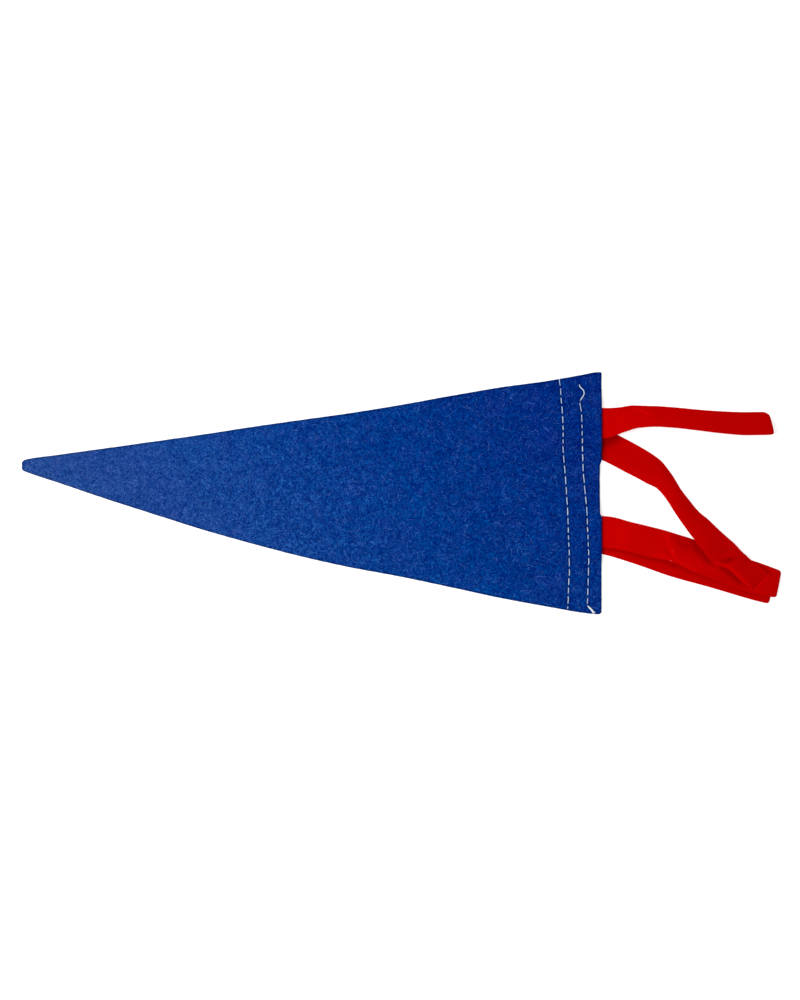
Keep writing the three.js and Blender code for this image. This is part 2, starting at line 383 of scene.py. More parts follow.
def feltLift(inset, up):
    # how high the ties hold the felt's underside
    alongFold = np.clip(inset / felt["foldInset"], 0, 1)
    front = 1 - smoothstep(inset, felt["padReach"], felt["padReach"] + felt["padFront"])
    lift = np.zeros_like(inset)
    for height, topNear, bottomNear, topFar, bottomFar in felt["pads"]:
        top = topNear + (topFar - topNear) * alongFold
        bottom = bottomNear + (bottomFar - bottomNear) * alongFold
        beside = np.maximum(up - top, bottom - up)
        lift = np.maximum(lift, height * front * (1 - smoothstep(beside, 0, felt["padSide"])))
    return lift


def inFromEdge(out, up):
    # how far in each point lies from the nearest edge
    top, bottom = edgesAt(np.clip(out + felt["length"], 0, felt["length"]))
    beside = np.minimum(top - up, up - bottom)
    return np.minimum(np.minimum(beside, out + felt["length"]), -headingDip(-out, up) - out)


def headingDip(inset, up):
    dip = felt["edgeDip"]
    beside = np.maximum(up - dip["top"], dip["bottom"] - up)
    inward = 1 - smoothstep(inset, 0, dip["reach"])
    return dip["depth"] * inward * (1 - smoothstep(beside, -dip["side"], 0))


def stitchBed(out, up):
    # how far each point is pressed down by the stitching, and how near it is to it, 0 to 1, which sets
    # the painted shade there
    depth = np.zeros_like(out)
    near = np.zeros_like(out)
    for row, holes in stitchRows:
        aside = np.abs(out - rowOut(row, up))
        inRow = 1 - smoothstep(up, holes[0], holes[0] + stitching["rowEnd"])
        inRow = inRow * smoothstep(up, holes[-1] - stitching["rowEnd"], holes[-1])
        toHole = np.min(np.abs(up[..., None] - holes), axis=-1)
        bed = np.exp(-((aside / stitching["bedWidth"]) ** 2)) * inRow
        hole = np.exp(-(np.hypot(aside, toHole) / stitching["holeWidth"]) ** 2)
        depth = np.maximum(depth, stitching["bedDepth"] * bed + stitching["holeDepth"] * hole)
        # painted shade beside each row, weaker at the holes
        halo = np.exp(-((aside / stitching["haloWidth"]) ** 4))
        halo *= 1 - (1 - stitching["gapHalo"]) * np.exp(-((toHole / stitching["gapWidth"]) ** 4))
        near = np.maximum(near, inRow * halo)
    # painted shade beside the loose threads lying on top of the felt
    strength, width = stitching["looseHalo"]
    for thread in looseThreads:
        away = lineDistance(out, up, [point[:2] for point in thread])
        near = np.maximum(near, strength * np.exp(-((away / width) ** 4)))
    return depth, near


def feltTop(out, up):
    height = feltLift(-out, up) + felt["thickness"]
    for size, swell, seed in felt["swells"]:
        height = height + swell * cloud(out, up, size, seed)
    return height - stitchBed(out, up)[0]


def feltOutline():
    # anticlockwise from the tip's lower corner, as (out, up)
    along = np.linspace(0, felt["length"], round(felt["length"] / felt["edgeStep"]) + 1)
    along = np.concatenate([[0], felt["tipSteps"], along[1:]])
    top, bottom = edgesAt(along)
    count = round((top[-1] - bottom[-1]) / felt["edgeStep"]) + 1
    heading = np.linspace(bottom[-1], top[-1], count)[1:-1]
    tip = np.linspace(top[0], bottom[0], felt["tipPoints"])[1:-1]
    out = np.concatenate([along, np.full(len(heading), along[-1]), along[::-1], np.zeros(len(tip))])
    up = np.concatenate([bottom, heading, top[::-1], tip])
    out = out - felt["length"]
    out = out - headingDip(-out, up)
    before = np.stack([np.roll(out, 1), np.roll(up, 1)])
    after = np.stack([np.roll(out, -1), np.roll(up, -1)])
    run = after - before
    run /= np.linalg.norm(run, axis=0)
    outward = np.stack([run[1], -run[0]])
    wander = felt["edgeWander"] * (cloud(out, up, felt["wanderPatch"], felt["wanderSeed"]) - 0.5)
    edge = np.stack([out, up]) + outward * wander
    return edge.T, outward.T


def fillFelt(edge, rim, lattices):
    # triangles inside the edge, over a lattice that is finer near the stitching
    places = [edge, rim]
    for step, near, far in lattices:
        rows = np.arange(-felt["halfHeight"], felt["halfHeight"], step * math.sqrt(3) / 2)
        columns = np.arange(-felt["length"], 0, step)
        out, up = np.meshgrid(columns, rows)
        out = out + (np.arange(len(rows)) % 2)[:, None] * step / 2
        out, up = out.ravel(), up.ravel()
        top, bottom = edgesAt(out + felt["length"])
        margin = felt["rimInset"] + 0.5 * step
        inside = (up < top - margin) & (up > bottom + margin) & (out > -felt["length"] + margin)
        inside &= out < -headingDip(-out, up) - margin
        away = np.minimum(*[np.abs(out - rowOut(row, up)) for row, holes in stitchRows])
        inside &= (away >= near) & (away < far)
        places.append(np.stack([out[inside], up[inside]], axis=1))
    points = np.concatenate(places)
    loop = list(range(len(edge)))
    insideOnly, tolerance = 1, 1e-5
    found = delaunay_2d_cdt([Vector(point) for point in points], [], [loop], insideOnly, tolerance)
    came = [origin[0] for origin in found[3]]
    return points, [[came[i] for i in face] for face in found[2]]


def makeFelt(material):
    edge, outward = feltOutline()
    rim = edge - outward * felt["rimInset"]
    topPlaces, topFaces = fillFelt(edge, rim, felt["lattices"])
    lowPlaces, lowFaces = fillFelt(edge, rim, [(felt["undersideStep"], 0, math.inf)])
    count = len(edge)

    topHeight = feltTop(topPlaces[:, 0], topPlaces[:, 1])
    topHeight[:count] -= felt["rimDrop"]
    topHeight[count:2 * count] -= felt["rimEase"] * felt["rimDrop"]
    lowHeight = feltLift(-lowPlaces[:, 0], lowPlaces[:, 1])
    lowHeight[:count] += felt["rimDrop"]
    points = np.concatenate([
        np.column_stack([topPlaces, topHeight]),
        np.column_stack([lowPlaces, lowHeight]),
    ])
    first = len(topPlaces)
    faces = list(topFaces)
    faces += [[first + i for i in reversed(face)] for face in lowFaces]
    for i in range(count):
        after = (i + 1) % count
        faces.append((first + i, first + after, after, i))

    # painted shade, with pressed felt, beside the stitching and the loose threads; a darker band along
    # the cut edges
    near = stitchBed(points[:, 0], points[:, 1])[1]
    inside = np.maximum(inFromEdge(points[:, 0], points[:, 1]), 0)
    values = {"pressedAndShadow": near, "rim": np.exp(-((inside / felt["rimWidth"]) ** 2))}
    piece = addPiece("felt_body", points, faces, material, values)
    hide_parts("felt_pennant")


# felt's finish

feltLook = {
    # paler towards the tip: (from the tip, colour)
    "fade": [
        (11, linear(36, 73, 141)), (66, linear(28, 66, 139)), (104, linear(18, 65, 140)),
        (152, linear(8, 58, 135)), (206, linear(0, 52, 130)), (305, linear(0, 38, 120)),
        (350, linear(0, 37, 120)),
    ],
    "fadeSlant": 0.7,  # and towards the lower edge, by this share
    # cloudy hues, where more violet or more green fibres lie: colour, how far its noise is moved
    "hues": [(linear(48, 57, 150), 0.31), (linear(0, 74, 146), 0.77)],
    "huePatch": 11.0,
    "hueStrength": 0.13,
    "hueNoise": (5, 0.7, 0.8),  # detail, roughness, distortion
    "hueRange": (0.48, 0.66),
    # matted wool, coarse to fine: size, whether it runs in curly lines, darkest and palest shade
    "grains": [
        (4.2, False, (0.6, 0.86, 0.93), (1.4, 1.15, 1.08)),
        (1.9, True, (0.35, 0.7, 0.87), (2.9, 1.75, 1.35)),
        (0.9, False, (0, 0.42, 0.73), (2.1, 1.62, 1.32)),
    ],
    "grainFade": (10, 150, 0.55),  # weaker at the tip: from and to this far from it, share there
    "grainNoise": (1.2, 0.6, 1.2),  # detail, roughness, distortion
    "grainReach": 0.11,  # how far from its middle the noise still counts
    "lineWidth": 0.1,
    # how dark the painted shade beside the thread, and the band along the cut edges, make the felt
    "pressedAndShadowShade": 0.66,
    "rimShade": 0.45,
    "bump": (0.6, 0.25),  # strength and depth
    "roughness": (0.86, 1.0),
}
woolShine = {"Specular IOR Level": 0.03, "Specular Tint": (0.04, 0.35, 1, 1)}


def makeFeltMaterial():
    material, tree, shader = newMaterial("feltBlue")
    link = tree.links.new
    place = addNode(tree, "ShaderNodeTexCoord").outputs["Object"]
    apart = addNode(tree, "ShaderNodeSeparateXYZ")
    link(place, apart.inputs[0])

    # the colour along the pennant
    slanted = addNode(tree, "ShaderNodeMath", {1: feltLook["fadeSlant"]}, operation="MULTIPLY_ADD")
    link(apart.outputs["Y"], slanted.inputs[0])
    link(apart.outputs["X"], slanted.inputs[2])
    tipX = headingX - felt["length"]
    fadeEnd = feltLook["fade"][-1][0]
    fromTip = addLevel(tree, slanted.outputs[0], low=tipX * mm, high=(tipX + fadeEnd) * mm)
    shade = addRamp(tree, fromTip, [(at / fadeEnd, colour) for at, colour in feltLook["fade"]])

    low, high = feltLook["hueRange"]
    for colour, shift in feltLook["hues"]:
        moved = addNode(tree, "ShaderNodeVectorMath", {1: (shift, shift, 0)}, operation="ADD")
        link(place, moved.inputs[0])
        clouds = addNoise(tree, moved.outputs[0], 1 / (feltLook["huePatch"] * mm), *feltLook["hueNoise"])
        level = addLevel(tree, clouds, low=low, high=high, pale=feltLook["hueStrength"])
        shade = addMix(tree, level, shade, colour)

    # matted wool: soft patches, curly lines of fibre and a fine grain
    nearest, furthest, share = feltLook["grainFade"]
    strength = addLevel(
        tree, apart.outputs["X"], low=(tipX + nearest) * mm, high=(tipX + furthest) * mm, dark=share,
    )
    reach = feltLook["grainReach"]
    for size, curly, dark, pale in feltLook["grains"]:
        grain = addNoise(tree, place, 1 / (size * mm), *feltLook["grainNoise"])
        if curly:
            aside = addNode(tree, "ShaderNodeMath", {1: 0.5}, operation="SUBTRACT")
            link(grain, aside.inputs[0])
            fromLine = addNode(tree, "ShaderNodeMath", operation="ABSOLUTE")
            link(aside.outputs[0], fromLine.inputs[0])
            level = addLevel(tree, fromLine.outputs[0], high=feltLook["lineWidth"], dark=1, pale=0)
        else:
            level = addLevel(tree, grain, low=0.5 - reach, high=0.5 + reach)
        tone = addMix(tree, level, (*dark, 1), (*pale, 1))
        mottled = addNode(tree, "ShaderNodeVectorMath", operation="MULTIPLY")
        link(shade, mottled.inputs[0])
        link(addMix(tree, strength, (1, 1, 1, 1), tone), mottled.inputs[1])
        shade = mottled.outputs[0]

    # painted shade beside the stitching and the loose threads, where the felt is also pressed, and
    # darker along the cut edges
    for name in ("pressedAndShadow", "rim"):
        read = addNode(tree, "ShaderNodeAttribute", attribute_name=name)
        level = addLevel(tree, read.outputs["Fac"], dark=1, pale=1 - feltLook[name + "Shade"])
        shade = addScale(tree, shade, level)
    link(shade, shader.inputs["Base Color"])

    # the finest grain, which the loop made last, also roughens the wool
    addBump(tree, shader, grain, *feltLook["bump"])
    dark, pale = feltLook["roughness"]
    link(addLevel(tree, grain, dark=dark, pale=pale), shader.inputs["Roughness"])
    for name, value in woolShine.items():
        shader.inputs[name].default_value = value
    return material


makeFelt(makeFeltMaterial())
print("felt cut and laid")

# loose fibres lying on the felt

nap = {
    "seed": 17,
    "count": 10500,
    "length": (1.0, 3.6),
    "radius": (0.045, 0.085),
    "bend": 0.7,  # turn for each millimetre, in radians
    "rings": 3,
    "stand": 0.08,
    "clear": 0.75,  # kept off the stitching
}
fibres = {
    "seed": 41,
    "count": 3600,
    "length": (2.6, 7.5),
    "radius": (0.045, 0.085),
    "bend": 0.34,
    "rings": 5,
    "stand": 0.16,
    "clear": 0.9,
}
fibreLay = {
    "spare": 3,  # drawn for each that is laid, as many fall outside
    "halfHeight": 64,
    "shortest": 0.6,  # share of the length
    "sway": 0.2,
    "margin": 0.5,  # kept off the edges
    "headingMargin": 0.6,
    "sink": 0.06,  # its ends below the felt
    "arch": 0.1,
    "sides": 3,
}
fibreLook = {
    "low": linear(0, 47, 136),
    "high": linear(106, 156, 246),
    "rarity": 4.5,  # the higher, the fewer are pale
    "faded": 0.06,  # paler at the tip
    "fadedReach": (20, 180),
    "roughness": 0.9,
}


def tubesAlong(paths, radii, sides):
    # closed tubes with pointed ends, one for each row of points
    count, length = paths.shape[:2]
    run = np.gradient(paths, axis=1)
    run /= np.linalg.norm(run, axis=2, keepdims=True)
    side = np.cross(run, (0, 0, 1.0))
    side /= np.linalg.norm(side, axis=2, keepdims=True)
    rise = np.cross(side, run)
    rings = []
    for k in range(sides):
        angle = 2 * math.pi * k / sides + math.pi / 2
        rings.append(math.cos(angle) * side + math.sin(angle) * rise)
    rings = np.stack(rings, axis=2)[:, 1:-1]
    tube = paths[:, 1:-1, None, :] + rings * radii[:, None, None, None]
    tube = tube.reshape(count, -1, 3)
    points = np.concatenate([tube, paths[:, :1], paths[:, -1:]], axis=1)
    inner = length - 2
    faces = []
    for ring in range(inner - 1):
        for k in range(sides):
            a = ring * sides + k
            b = ring * sides + (k + 1) % sides
            faces.append((a, b, b + sides, a + sides))
    start, end = inner * sides, inner * sides + 1
    caps = [(start, (k + 1) % sides, k) for k in range(sides)]
    caps += [(end, (inner - 1) * sides + k, (inner - 1) * sides + (k + 1) % sides) for k in range(sides)]
    perTube = inner * sides + 2
    allFaces = []
    for i in range(count):
        base = i * perTube
        allFaces += [tuple(base + v for v in face) for face in faces]
        allFaces += [tuple(base + v for v in face) for face in caps]
    return points.reshape(-1, 3), allFaces, perTube


def makeFibreMaterial():
    material, tree, shader = newMaterial("fibreBlue")
    tone = addNode(tree, "ShaderNodeAttribute", attribute_name="tone")
    colour = addMix(tree, tone.outputs["Fac"], fibreLook["low"], fibreLook["high"])
    tree.links.new(colour, shader.inputs["Base Color"])
    shader.inputs["Roughness"].default_value = fibreLook["roughness"]
    for name, value in woolShine.items():
        shader.inputs[name].default_value = value
    return material


def makeFibres(name, kind, material):
    draw = np.random.default_rng(kind["seed"])
    wanted = kind["count"] * fibreLay["spare"]
    out = -draw.random(wanted) * felt["length"]
    up = draw.uniform(-fibreLay["halfHeight"], fibreLay["halfHeight"], wanted)
    length = draw.uniform(*kind["length"], wanted)
    length = length * draw.uniform(fibreLay["shortest"], 1, wanted)
    radius = draw.uniform(*kind["radius"], wanted)
    heading = draw.uniform(0, 2 * math.pi, wanted)
    bend = draw.normal(0, kind["bend"], (wanted, 2))
    stand = draw.random(wanted) * kind["stand"]
    tone = draw.random(wanted) ** fibreLook["rarity"]
    faded = fibreLook["faded"] * (1 - smoothstep(out + felt["length"], *fibreLook["fadedReach"]))
    tone = faded + (1 - faded) * tone

    share = np.linspace(-0.5, 0.5, kind["rings"] + 2)
    length = length[:, None]
    sway = fibreLay["sway"] * np.sin(2 * math.pi * share)
    turn = heading[:, None] + length * (bend[:, :1] * share + bend[:, 1:] * sway)
    step = length / (len(share) - 1)
    x = out[:, None] + np.cumsum(np.cos(turn), axis=1) * step
    y = up[:, None] + np.cumsum(np.sin(turn), axis=1) * step
    top, bottom = edgesAt(np.clip(x + felt["length"], 0, felt["length"]))
    margin = fibreLay["margin"]
    inside = (y < top - margin) & (y > bottom + margin) & (x > margin - felt["length"])
    inside &= x < -fibreLay["headingMargin"] - headingDip(-x, y)
    away = np.minimum(*[np.abs(x - rowOut(row, y)) for row, holes in stitchRows])
    inside &= away > kind["clear"]
    keep = np.flatnonzero(inside.all(axis=1))[:kind["count"]]
    x, y = x[keep], y[keep]
    arch = np.sin(math.pi * (share + 0.5))
    z = feltTop(x, y) - fibreLay["sink"] + (fibreLay["arch"] + stand[keep, None]) * arch
    paths = np.stack([x, y, z], axis=2)
    points, faces, perTube = tubesAlong(paths, radius[keep], fibreLay["sides"])
    values = {"tone": np.repeat(tone[keep], perTube)}
    addPiece(name, points, faces, material, values)
    print(name, "laid:", len(keep))


fibreMaterial = makeFibreMaterial()
makeFibres("felt_nap", nap, fibreMaterial)
makeFibres("felt_fibres", fibres, fibreMaterial)


# thread

def smoothPath(points, steps):
    # a rounder path through the points
    points = np.asarray(points, float)
    places = np.concatenate([[0], np.cumsum(np.linalg.norm(np.diff(points, axis=0), axis=1))])
    at = np.linspace(0, places[-1], steps)
    padded = np.vstack([2 * points[0] - points[1], points, 2 * points[-1] - points[-2]])
    i = np.clip(np.searchsorted(places, at, side="right") - 1, 0, len(points) - 2)
    t = ((at - places[i]) / (places[i + 1] - places[i]))[:, None]
    a, b, c, d = padded[i], padded[i + 1], padded[i + 2], padded[i + 3]
    curve = (2 * a - 5 * b + 4 * c - d) * t ** 2 + (3 * b - a - 3 * c + d) * t ** 3
    return 0.5 * (2 * b + (c - a) * t + curve)


def twistedThread(path, radius, ends, clean, start):
    # a closed tube whose strands turn along it; it is blue with wool where it is slimmer
    sides = stitching["threadSides"]
    run = np.gradient(path, axis=0)
    lengths = np.concatenate([[0], np.cumsum(np.linalg.norm(np.diff(path, axis=0), axis=1))])
    run /= np.linalg.norm(run, axis=1, keepdims=True)
    side = np.cross(run, (0, 0, 1.0))
    side /= np.linalg.norm(side, axis=1, keepdims=True)
    rise = np.cross(side, run)
    angle = np.linspace(0, 2 * math.pi, sides, endpoint=False)[None, :]
    turn = (2 * math.pi * lengths / stitching["threadTurn"])[:, None]
    strand = 1 - stitching["strandDepth"] * (1 - np.cos(stitching["threadStrands"] * (angle - turn)))
    stops = [0, stitching["taper"], lengths[-1] - stitching["taper"], lengths[-1]]
    width = radius * np.interp(lengths, stops, [ends[0], 1, 1, ends[1]])
    spread = (strand * width[:, None])[..., None]
    away = np.cos(angle)[..., None] * side[:, None] + np.sin(angle)[..., None] * rise[:, None]
    rings = path[:, None] + spread * away
    points = np.vstack([rings.reshape(-1, 3), path[:1], path[-1:]])
    endWhite = [clean if end == 1 else 0 for end in ends]
    white = np.interp(lengths, stops, [endWhite[0], clean, clean, endWhite[1]])
    white = np.concatenate([np.repeat(white, sides), endWhite])
    faces = []
    for r in range(len(path) - 1):
        for k in range(sides):
            a, b = r * sides + k, r * sides + (k + 1) % sides
            faces.append((a, b, b + sides, a + sides))
    first, last = len(path) * sides, len(path) * sides + 1
    for k in range(sides):
        faces.append((first, (k + 1) % sides, k))
        faces.append((last, first - sides + k, first - sides + (k + 1) % sides))
    return points, [tuple(start + v for v in face) for face in faces], white


threadLook = {
    # from under the wool, along the stitches, and on the loose ends
    "colours": [(0, linear(84, 116, 192)), (0.6, linear(182, 208, 255)), (1, linear(234, 242, 252))],
    "stitchClean": 0.62,
    "curlClean": 0.75,
    "tailClean": 1,
    "lint": (0.86, 1.08),
    "lintNoise": (900, 3, 0.6),  # scale, detail, roughness
    "bump": (0.3, 0.05),  # strength and depth
    "roughness": (0.5, 0.75),
    "specular": 0.2,
}


def makeThreadMaterial():
    material, tree, shader = newMaterial("threadWhite")
    place = addNode(tree, "ShaderNodeTexCoord").outputs["Object"]
    lint = addNoise(tree, place, *threadLook["lintNoise"])
    clean = addNode(tree, "ShaderNodeAttribute", attribute_name="clean")
    colour = addRamp(tree, clean.outputs["Fac"], threadLook["colours"])
    dark, pale = threadLook["lint"]
    colour = addScale(tree, colour, addLevel(tree, lint, dark=dark, pale=pale))
    tree.links.new(colour, shader.inputs["Base Color"])
    dark, pale = threadLook["roughness"]
    tree.links.new(addLevel(tree, lint, dark=dark, pale=pale), shader.inputs["Roughness"])
    addBump(tree, shader, lint, *threadLook["bump"])
    shader.inputs["Specular IOR Level"].default_value = threadLook["specular"]
    return material


def makeStitching(material):
    draw = np.random.default_rng(stitching["seed"])
    allPoints, allFaces, allWhite = [], [], []
    total = 0

    def addThread(path, radius, ends, clean):
        nonlocal total
        points, faces, white = twistedThread(path, radius, ends, clean, total)
        allPoints.append(points)
        allFaces.extend(faces)
        allWhite.append(white)
        total += len(points)

    dive = np.array(stitching["dive"])
    for row, holes in stitchRows:
        for high, low in zip(holes, holes[1:]):
            up = np.concatenate([high - dive[:, 0], low + dive[::-1, 0]])
            out = rowOut(row, up) + draw.normal(0, stitching["wander"], len(up))
            height = feltLift(-out, up) + felt["thickness"] - stitching["bedDepth"]
            height += np.concatenate([dive[:, 1], dive[::-1, 1]])
            path = smoothPath(np.column_stack([out, up, height]), stitching["stitchRings"])
            radius = stitching["threadRadius"] * draw.uniform(*stitching["fullness"])
            clean = threadLook["stitchClean"] * draw.uniform(*stitching["cleanness"])
            addThread(path, radius, stitching["stitchEnds"], clean)
    loose = [(stitching["curl"], threadLook["curlClean"])]
    loose += [(strand, threadLook["tailClean"]) for strand in stitching["tailStrands"]]
    for points, clean in loose:
        points = np.array(points, float)
        points[:, 2] += feltLift(-points[:, 0], points[:, 1]) + felt["thickness"]
        path = smoothPath(points, stitching["looseRings"])
        addThread(path, stitching["looseRadius"], stitching["looseEnds"], clean)
    values = {"clean": np.concatenate(allWhite)}
    addPiece("stitching", np.vstack(allPoints), allFaces, material, values)
    print("stitches sewn:", len(allPoints))


makeStitching(makeThreadMaterial())

# ties: each one strip of tape, folded once under the felt

tape = {
    "thickness": 0.9,
    "seat": 0.5,  # from a layer's lowest edge up to its middle
    "width": 16,
    "step": 0.7,
    "columns": [-1, -0.985, -0.94, -0.86, -0.76, -0.64, -0.52, -0.4, -0.27, -0.13],
    "edgeShare": [0.35, 0.78],  # of the thickness, at the first columns
    "endShare": [0.12, 0.55, 0.88],
    "turnSteps": 10,
    "cornerRadius": 1.6,
    "cornerReach": 6,  # the rounded end draws its sections in this far back
}
# rows from the fold to the cut end: out, up, heading in degrees, width seen from above,
# rise of the right edge, bow of the middle, lift of the lowest edge
foldOut = -felt["foldInset"]
upperTie = {
    "top": [
        (foldOut, 37, -12, 16, 0, 0, oneLayer),
        (1.4, 36.8, 6, 16.1, 0, 0, oneLayer),
        (9.8, 38.4, 10, 13.4, 4.5, 1.6, 0.7),
        (18.3, 40.1, 9, 12, 7.5, 2.3, 0),
        (26.7, 40.2, 0, 11, 8.6, 2.8, 0),
        (37.2, 39.6, -4, 10.9, 8.7, 2.9, 0),
        (49.8, 38.3, -6.5, 11.1, 8.5, 2.8, 0),
        (62.4, 37.1, -4.5, 11.7, 8, 2.6, 0),
        (75.1, 36.4, -1, 12.2, 7.3, 2.4, 0),
        (84.1, 36.5, 0, 12.2, 7.1, 2.3, 0),
        (88.9, 36.2, 9, 11.2, 7, 2.2, 0),
    ],
    "under": [
        (foldOut, 37, -12, 16, 0, 0, 0),
        (3.7, 24.4, -27, 15.5, 0, 0, 0),
        (13.9, 19.1, -27, 15.5, 0.6, 0.4, 0),
        (26.4, 11.7, -31, 14.5, 4, 1.4, 0),
        (32.2, 6.6, -42, 11.4, 7.2, 2.2, 0),
        (37.6, -1.1, -57, 9.9, 9.2, 3.2, 0),
        (41.4, -6.5, -55, 10.5, 9, 3, 0),
        (46.4, -13.1, -52, 11.2, 8.2, 2.6, 0),
        (51.1, -18.1, -48, 12.8, 7.4, 1.9, 0.3),
        (56.1, -23.5, -46, 13.6, 6.4, 1.2, 0.9),
        (63, -30.9, -45, 15.4, 4.8, 1, 2.1),
        (70.7, -36.1, -45, 11.4, 3.2, 2.6, 2.8),
        (73.2, -38.4, -45, 11.4, 2.5, 2.1, 2.6),
        (77.7, -42, -45, 12.3, 1.4, 1.2, 2.3),
        (83.2, -46.4, -45, 12.2, 0, 0, 1.85),
    ],
    # small ridges and troughs: points along each, its height, its half width, and how much the cloth is
    # painted paler (over 0: painted highlights and glints) or darker (under 0: painted shade in creases
    # and under raised edges) there
    "topCreases": [
        ([(16.2, 43.9), (19.3, 43.3), (21.6, 42.8), (24.2, 40.6)], 0.22, 0.38, 0.7),
        ([(25.7, 37), (27.8, 36.7)], 0.12, 0.6, 0.3),
        ([(1.6, 45), (1.8, 38), (4, 31.5)], 0.1, 0.8, 0.3),
        ([(58, 37), (59.5, 35.5)], 0, 2.4, -0.15),
    ],
    "underCreases": [
        ([(0.5, 27.5), (3, 28), (6, 29), (9, 30.5)], 0, 3.3, -1.2),
        ([(0.3, 26), (0.5, 22), (0.7, 18.5)], 0, 1.7, -0.8),
        ([(6, 23), (20, 15), (29, 9)], 0, 6, -0.22),
        ([(31, 8), (34, 5), (38, -1)], 0, 4, 0.3),
        ([(38, -1), (45, -12), (52, -21)], 0, 5, 0.18),
        ([(60, -28), (64, -33)], 0, 5, -0.22),
        ([(35.1, -2), (37.6, -4.6), (39.8, -7.2)], -0.1, 1, -0.2),
        ([(59.2, -36.8), (65.2, -38.1), (68.8, -40.5), (73.7, -44.8), (78.2, -49.4)], 0.5, 1.0, 0.55),
        ([(62.9, -36), (65, -35.4), (66.6, -34.9)], -0.4, 1.4, -0.75),
        ([(66.6, -34.9), (70.5, -33.8)], -0.15, 1.3, -0.3),
        ([(64.4, -29.4), (64.9, -29.4)], -0.2, 0.8, -0.4),
        ([(66, -32.6), (70.5, -31.5), (74, -33.5)], 0.3, 1.2, 0.1),
        ([(77.1, -37.9), (80.8, -38.1), (83.5, -40), (85, -41.4)], 0.2, 0.6, 0.3),
        ([(80.2, -49.4), (83.2, -46.4), (86.5, -43)], 0, 1.1, 0.55),
    ],
    "flatLength": 0.243,
}
lowerTie = {
    "top": [
        (foldOut, -19.1, -7, 16, 0, 0, oneLayer),
        (2.7, -20.4, -5, 16.6, 0, 0, oneLayer),
        (14.6, -22.9, -12, 15.5, 1, 0.6, oneLayer),
        (28.5, -26.4, -14, 15.7, 1, 0.6, oneLayer),
        (38.8, -28.9, -17, 14.5, 1.4, 1.6, oneLayer),
        (51.9, -34.1, -17, 16.2, 0.6, 0.3, oneLayer),
        (65.3, -39.1, -17.5, 16.4, 0, 0, oneLayer),
        (78.5, -43.9, -17, 16.7, 0, 0, oneLayer),
        (93, -47.9, -11, 14.4, 0, 0.7, oneLayer),
    ],
    "under": [
        (foldOut, -19.1, -7, 16, 0, 0, 0),
        (2.6, -24.2, -10, 16.3, 0, 0, 0),
        (19.3, -29.2, -19, 16.3, 0, 0, 0),
        (39.2, -36.1, -18, 16.3, 0, 0, 0),
        (58.7, -41.5, -15.5, 16.3, 0, 0, 0),
        (81.4, -48.2, -15, 16.3, 0, 0, 0),
        (89.7, -50.4, -12, 16, 0, 0, 0),
    ],
    # painted highlights over 0 and painted shade under 0, as for the upper tie
    "topCreases": [
        ([(34.6, -22.5), (35.4, -27), (37.2, -30.6)], 0.35, 1.2, 0.25),
        ([(37.2, -30.6), (39.5, -35.3), (44, -38.1), (49.3, -41)], 0.45, 1.4, 0.45),
        ([(45, -34.6), (53, -38), (60, -40.5)], 0, 3.4, 0.36),
        ([(32.8, -29.1), (36, -32.8)], -0.25, 0.8, -0.4),
        ([(38.8, -23), (41.4, -25.7), (44.4, -28.3)], -0.3, 1.8, -0.5),
        ([(44.7, -23.2), (47.8, -24.4)], -0.1, 1.2, -0.6),
        ([(48.3, -26.5), (50.6, -29.5), (53.6, -33.2), (56.6, -35.9)], -0.2, 2, -0.8),
        ([(63.2, -39.6), (65.5, -40.4), (68.8, -43.4), (72.6, -46.9)], -0.3, 1.2, -0.75),
        ([(84.3, -39), (86.2, -40.5), (88.2, -42.4)], -0.1, 1.3, -0.5),
        ([(35.8, -35.1), (38, -37.2)], 0.25, 0.45, 1),
        ([(28.2, -32.3), (35.1, -34.1)], 0.1, 0.9, 0.4),
        ([(2, -19), (9, -22)], 0, 7, 0.14),
        ([(75, -49.9), (80.8, -50.7), (86.5, -53)], 0.1, 0.6, 0.4),
        ([(82, -48.4), (83.7, -46.7), (87, -43.4)], 0, 1, 0.4),
    ],
    # painted shadow of the top layer along the under layer
    "underCreases": [
        ([(2.5, -29.3), (10.9, -30.4), (18.3, -33), (28.8, -34.8), (38, -38)], 0, 1.1, -0.6),
        ([(38, -38), (44.6, -40.6), (56.1, -44.8)], 0, 1, -0.45),
        ([(58, -45.4), (62.4, -46.9), (75.1, -52), (87.7, -54.8)], 0, 1, -0.1),
    ],
    "flatLength": 0.243,
}


def layerSections(rows, creases, across):
    rows = np.array(rows, float)
    places = np.concatenate([[0], np.cumsum(np.hypot(*np.diff(rows[:, :2], axis=0).T))])
    total = places[-1]
    count = round(total / tape["step"])
    at = np.linspace(0, total, count + 1)[:, None] + np.zeros(len(across))
    reach = 1 - (1 - np.abs(across)) * tape["width"] / 2 / tape["cornerRadius"]
    corner = tape["cornerRadius"] * (1 - np.sqrt(1 - np.clip(reach, 0, 1) ** 2))
    at = at - corner * smoothstep(at, total - tape["cornerReach"], total)
    out, up, heading, span, rise, bow, lift = (readColumn(places, rows[:, i], at) for i in range(7))
    turn = np.radians(heading)
    aside = span / 2 * across
    out = out - aside * np.sin(turn)
    up = up + aside * np.cos(turn)
    height = lift + tape["seat"] + rise * (1 - across) / 2 + bow * (1 - across ** 2)
    grid = np.stack([out, up, height], axis=2)
    # painted highlights and painted shade along the creases, read by the tape's material
    paintedLight = np.zeros(out.shape)
    for line, size, width, tint in creases:
        away = lineDistance(grid[..., 0], grid[..., 1], line)
        bell = np.exp(-((away / width) ** 2))
        grid[..., 2] += size * bell
        paintedLight += tint * bell
    return grid, paintedLight


